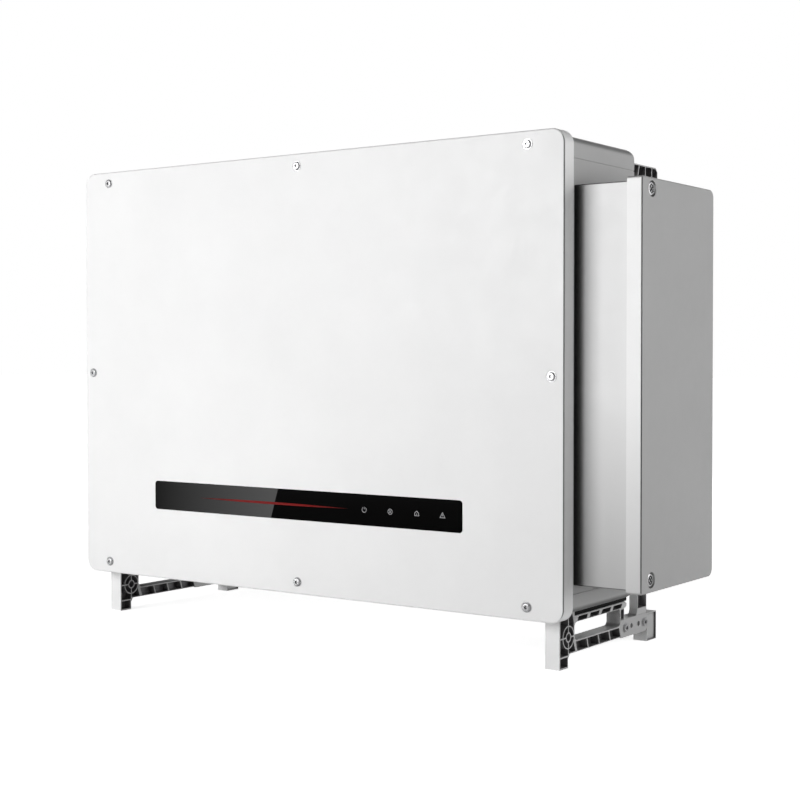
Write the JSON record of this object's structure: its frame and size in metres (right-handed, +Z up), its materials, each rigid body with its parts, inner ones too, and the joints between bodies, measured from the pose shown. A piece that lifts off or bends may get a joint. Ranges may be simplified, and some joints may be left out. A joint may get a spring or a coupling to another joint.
{
  "type": "string inverter",
  "caption": "Large wall or rack mounted solar string inverter with a lift-off front cover, a dark status window, a pull-out fan tray on one flank and ribbed foot brackets.",
  "frame": {"origin": "centre of the bottom of the whole box, between the four feet", "axes": "+X to the right along the width, +Y back towards the wall, +Z up; the front cover faces -Y"},
  "size_m": [1.12, 0.368, 0.81],
  "materials": {
    "white_powder_coat": "satin powder coat, very light grey",
    "casing_powder_coat": "satin powder coat, light grey",
    "bracket_coat": "light grey coated die casting",
    "seal_rubber": "black cellular rubber",
    "screw_steel": "bright stainless steel",
    "dark_window": "black tinted, glossy",
    "light_guide": "translucent",
    "circuit_board": "green solder mask",
    "bare_aluminium": "extruded, bare",
    "brass_parts": "nickel-free brass",
    "module_plastic": "moulded",
    "capacitor_can": "sleeved can",
    "grey_plastic": "moulded",
    "blue_plastic": "epoxy coated",
    "black_plastic": "glass-filled moulding",
    "knob_plastic": "moulded",
    "fuse_ceramic": "glazed tube",
    "copper_bar": "bare copper",
    "zinc_sheet": "zinc-plated sheet"
  },
  "bodies": {
    "housing": {"ac_cable_glands": "grey_plastic", "ac_gland_plate": "zinc_sheet", "ac_power_board": "circuit_board", "ac_relays": "grey_plastic", "ac_terminal_block": "grey_plastic", "board_standoffs": "brass_parts", "boost_inductors": "bare_aluminium", "boost_modules": "module_plastic", "breather_vent": "black_plastic", "busbars": "copper_bar", "casing": "casing_powder_coat", "circulation_fan_frame": "black_plastic", "control_board": "circuit_board", "control_shield": "zinc_sheet", "current_sensors": "black_plastic", "data_port_cap": "black_plastic", "dc_connectors": "black_plastic", "dc_link_capacitors": "capacitor_can", "dc_power_board": "circuit_board", "dc_switch_bodies": "grey_plastic", "duct_cover": "casing_powder_coat", "earth_screw": "screw_steel", "fan_box": "white_powder_coat", "film_capacitors": "grey_plastic", "filter_inductors": "bare_aluminium", "fixing_screws": "screw_steel", "foot_bracket_left": "bracket_coat", "foot_bracket_right": "bracket_coat", "foot_pads": "seal_rubber", "heat_sink_boost": "bare_aluminium", "heat_sink_inverter": "bare_aluminium", "inverter_modules": "module_plastic", "outlet_grille": "casing_powder_coat", "rear_frame_left": "bracket_coat", "rear_frame_right": "bracket_coat", "sheet_screws": "screw_steel", "signal_glands": "black_plastic", "splice_plates": "bracket_coat", "string_fuses": "fuse_ceramic", "surge_arresters": "blue_plastic", "terminal_bolts": "screw_steel"},
    "front_cover_unit": {"front_cover": "white_powder_coat", "cover_gasket": "seal_rubber", "cover_screws": "screw_steel", "indicator_window": "dark_window", "indicator_light_guides": "light_guide", "indicator_board": "circuit_board"},
    "fan_tray_unit": {"fan_cover": "white_powder_coat", "fan_cover_screws": "screw_steel", "fan_tray": "zinc_sheet", "fan_frames": "black_plastic", "fan_guards": "zinc_sheet"},
    "circulation_rotor": {"circulation_fan_rotor": "black_plastic"},
    "switch_knob_1": {"dc_switch_knob_1": "knob_plastic"},
    "switch_knob_2": {"dc_switch_knob_2": "knob_plastic"},
    "switch_knob_3": {"dc_switch_knob_3": "knob_plastic"},
    "switch_knob_4": {"dc_switch_knob_4": "knob_plastic"},
    "cooling_rotor_1": {"fan_rotor_1": "black_plastic"},
    "cooling_rotor_2": {"fan_rotor_2": "black_plastic"},
    "cooling_rotor_3": {"fan_rotor_3": "black_plastic"}
  },
  "joints": [
    {"name": "front_cover_removal", "type": "slide", "parent": "housing", "child": "front_cover_unit", "axis": [0, -1, 0], "range_m": [0, 0.25]},
    {"name": "fan_tray_pull", "type": "slide", "parent": "housing", "child": "fan_tray_unit", "axis": [1, 0, 0], "range_m": [0, 0.15]},
    {"name": "circulation_fan_spin", "type": "hinge", "parent": "housing", "child": "circulation_rotor", "pos_m": [-0.0675, -0.111, 0.6973], "axis": [1, 0, 0], "continuous": true},
    {"name": "cooling_fan_spin_1", "type": "hinge", "parent": "fan_tray_unit", "child": "cooling_rotor_1", "pos_m": [0.473, -0.0215, 0.2478], "axis": [1, 0, 0], "continuous": true},
    {"name": "cooling_fan_spin_2", "type": "hinge", "parent": "fan_tray_unit", "child": "cooling_rotor_2", "pos_m": [0.473, -0.0215, 0.4318], "axis": [1, 0, 0], "continuous": true},
    {"name": "cooling_fan_spin_3", "type": "hinge", "parent": "fan_tray_unit", "child": "cooling_rotor_3", "pos_m": [0.473, -0.0215, 0.6158], "axis": [1, 0, 0], "continuous": true},
    {"name": "dc_switch_turn_1", "type": "hinge", "parent": "housing", "child": "switch_knob_1", "pos_m": [-0.468, -0.089, 0.1073], "axis": [0, 0, -1], "range_deg": [0, 90]},
    {"name": "dc_switch_turn_2", "type": "hinge", "parent": "housing", "child": "switch_knob_2", "pos_m": [-0.328, -0.089, 0.1073], "axis": [0, 0, -1], "range_deg": [0, 90]},
    {"name": "dc_switch_turn_3", "type": "hinge", "parent": "housing", "child": "switch_knob_3", "pos_m": [-0.188, -0.089, 0.1073], "axis": [0, 0, -1], "range_deg": [0, 90]},
    {"name": "dc_switch_turn_4", "type": "hinge", "parent": "housing", "child": "switch_knob_4", "pos_m": [-0.048, -0.089, 0.1073], "axis": [0, 0, -1], "range_deg": [0, 90]}
  ]
}
